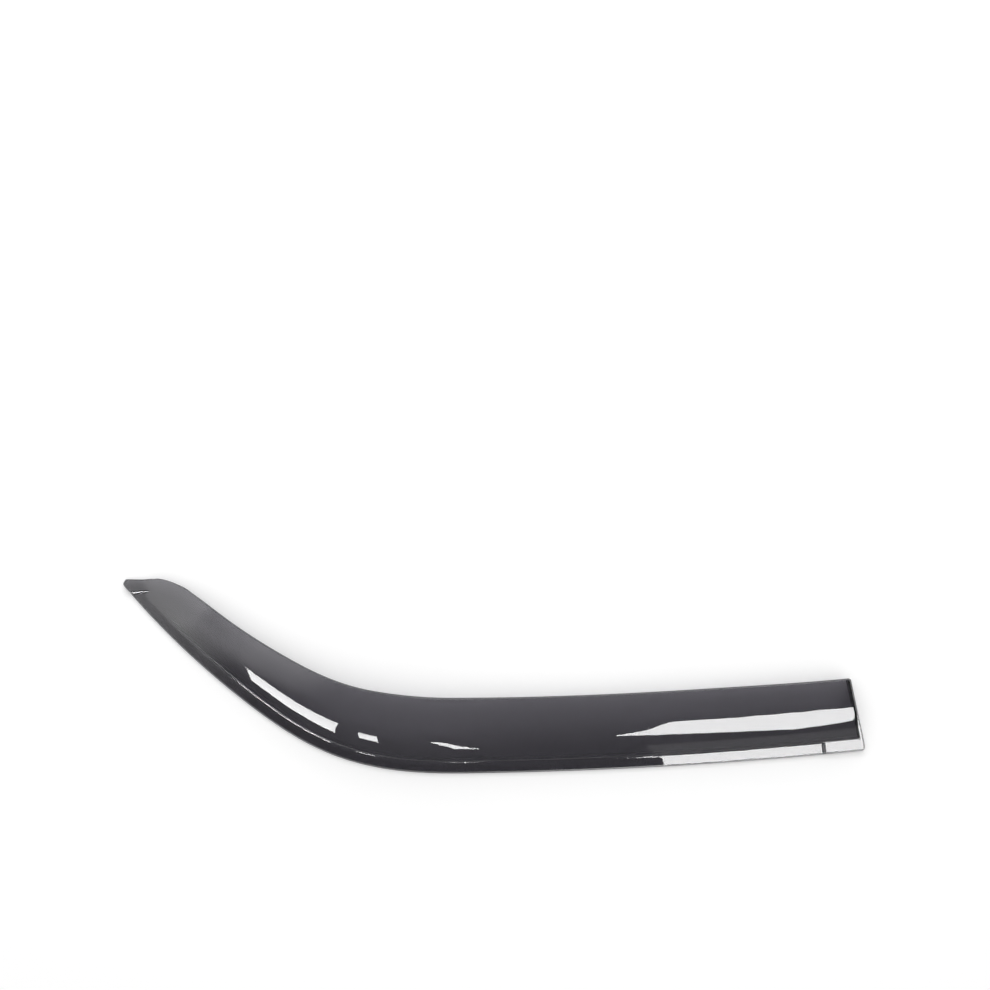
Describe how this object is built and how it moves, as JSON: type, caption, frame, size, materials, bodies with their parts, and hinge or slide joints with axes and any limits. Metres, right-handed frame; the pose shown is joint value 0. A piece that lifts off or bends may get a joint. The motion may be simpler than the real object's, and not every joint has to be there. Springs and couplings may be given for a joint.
{
  "type": "window rain deflector",
  "caption": "Long curved smoke-tinted shield with a flat mounting flange, an end wall and a tapered tip, for the front side window of a car door.",
  "frame": {"origin": "under the middle of the part's box, on the plane of the flange's underside", "axes": "+X to the rear end, +Y to the free edge, +Z out from the door, on the outside face's side"},
  "size_m": [0.8774, 0.23, 0.0289],
  "materials": {
    "smoke_acrylic": "polished, see-through smoke tint"
  },
  "bodies": {
    "root": {"deflector": "smoke_acrylic"}
  },
  "joints": []
}
